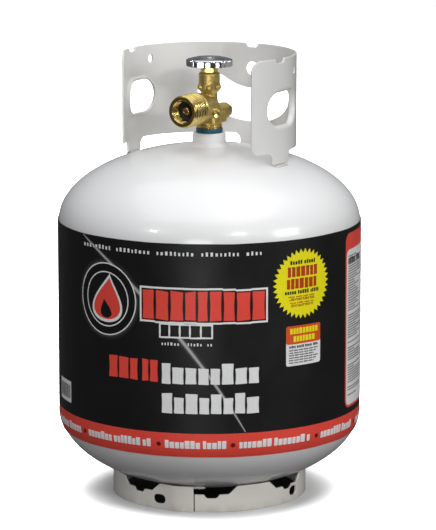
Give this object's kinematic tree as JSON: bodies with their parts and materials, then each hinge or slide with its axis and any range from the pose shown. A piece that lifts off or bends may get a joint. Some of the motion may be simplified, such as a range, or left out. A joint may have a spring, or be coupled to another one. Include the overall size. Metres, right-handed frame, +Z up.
{
  "type": "portable propane cylinder",
  "caption": "Portable steel propane cylinder with a guard collar, foot ring, printed sleeve and a brass valve with handwheel, outlet, relief valve and overfill float.",
  "frame": {"origin": "on the floor, under the vessel's axis, in the plane of the foot ring's lower edge", "axes": "+Z up along the vessel's axis, -Y to the front, where the valve's outlet points and the collar is open"},
  "size_m": [0.311, 0.311, 0.456],
  "materials": {
    "white_paint": "gloss",
    "collar_paint": "satin",
    "foot_paint": "satin",
    "sleeve_print": "gloss",
    "brass": "forged",
    "chrome": "polished",
    "steel": "plated",
    "sealant": "matt",
    "rubber": "matt",
    "plastic": "satin"
  },
  "bodies": {
    "cylinder": {"upper_head": "white_paint", "lower_head": "white_paint", "girth_weld": "white_paint", "valve_spud": "white_paint", "spud_weld": "white_paint", "label_sleeve": "sleeve_print", "foot_ring": "foot_paint", "foot_weld_1": "foot_paint", "foot_weld_2": "foot_paint", "foot_weld_3": "foot_paint", "foot_weld_4": "foot_paint", "collar": "collar_paint", "collar_weld_back": "collar_paint", "collar_weld_left": "collar_paint", "collar_weld_right": "collar_paint", "valve_body": "brass", "thread_sealant": "sealant", "gland_nut": "brass", "stem_packing": "rubber", "outlet_seal": "rubber", "check_spring": "steel", "relief_spring": "steel", "relief_plug": "brass", "dip_tube": "brass", "opd_housing": "plastic", "float_pin": "steel"},
    "wheel": {"handwheel": "chrome", "handwheel_washer": "steel", "handwheel_screw": "steel", "upper_stem": "brass"},
    "seat": {"seat_disc": "rubber"},
    "stem": {"lower_stem": "brass"},
    "check": {"check_plunger": "brass"},
    "relief": {"relief_poppet": "brass", "relief_seal": "rubber"},
    "bleed_point": {"bleed_needle": "steel"},
    "bleed_knob": {"bleed_screw": "brass"},
    "fill_stop": {"opd_plunger": "plastic", "opd_seal": "rubber"},
    "float_lever": {"float_arm": "plastic", "float": "rubber"}
  },
  "joints": [
    {"name": "handwheel_turn", "type": "hinge", "parent": "cylinder", "child": "wheel", "pos_m": [0, 0, 0.45], "axis": [0, 0, 1], "range_deg": [0, 720]},
    {"name": "seat_lift", "type": "slide", "parent": "cylinder", "child": "seat", "axis": [0, 0, 1], "range_m": [0, 0.003]},
    {"name": "stem_turn", "type": "hinge", "parent": "seat", "child": "stem", "pos_m": [0, 0, 0.411], "axis": [0, 0, 1], "range_deg": [0, 720]},
    {"name": "check_push", "type": "slide", "parent": "cylinder", "child": "check", "axis": [0, 1, 0], "range_m": [0, 0.0045], "stiffness_N_per_m": 400, "springref_m": -0.003, "deforming": ["check_spring"]},
    {"name": "relief_open", "type": "slide", "parent": "cylinder", "child": "relief", "axis": [0, 1, 0], "range_m": [0, 0.0025], "stiffness_N_per_m": 8000, "springref_m": -0.014, "deforming": ["relief_spring"]},
    {"name": "bleed_travel", "type": "slide", "parent": "cylinder", "child": "bleed_point", "axis": [0.788, -0.6157, 0], "range_m": [0, 0.0007]},
    {"name": "bleed_turn", "type": "hinge", "parent": "bleed_point", "child": "bleed_knob", "pos_m": [0.01418, -0.01108, 0.395], "axis": [0.788, -0.6157, 0], "range_deg": [0, 360]},
    {"name": "float_swing", "type": "hinge", "parent": "cylinder", "child": "float_lever", "pos_m": [0, 0, 0.31], "axis": [0, 1, 0], "range_deg": [0, 60]},
    {"name": "fill_stop_lift", "type": "slide", "parent": "cylinder", "child": "fill_stop", "axis": [0, 0, 1], "range_m": [0, 0.0025]}
  ],
  "couplings": [
    {"joint": "seat_lift", "follows": "handwheel_turn", "m_per_rad": 0.0002387},
    {"joint": "stem_turn", "follows": "handwheel_turn", "ratio": 1},
    {"joint": "bleed_turn", "follows": "bleed_travel", "rad_per_m": 8976},
    {"joint": "fill_stop_lift", "follows": "float_swing", "m_per_rad": 0.002387}
  ]
}
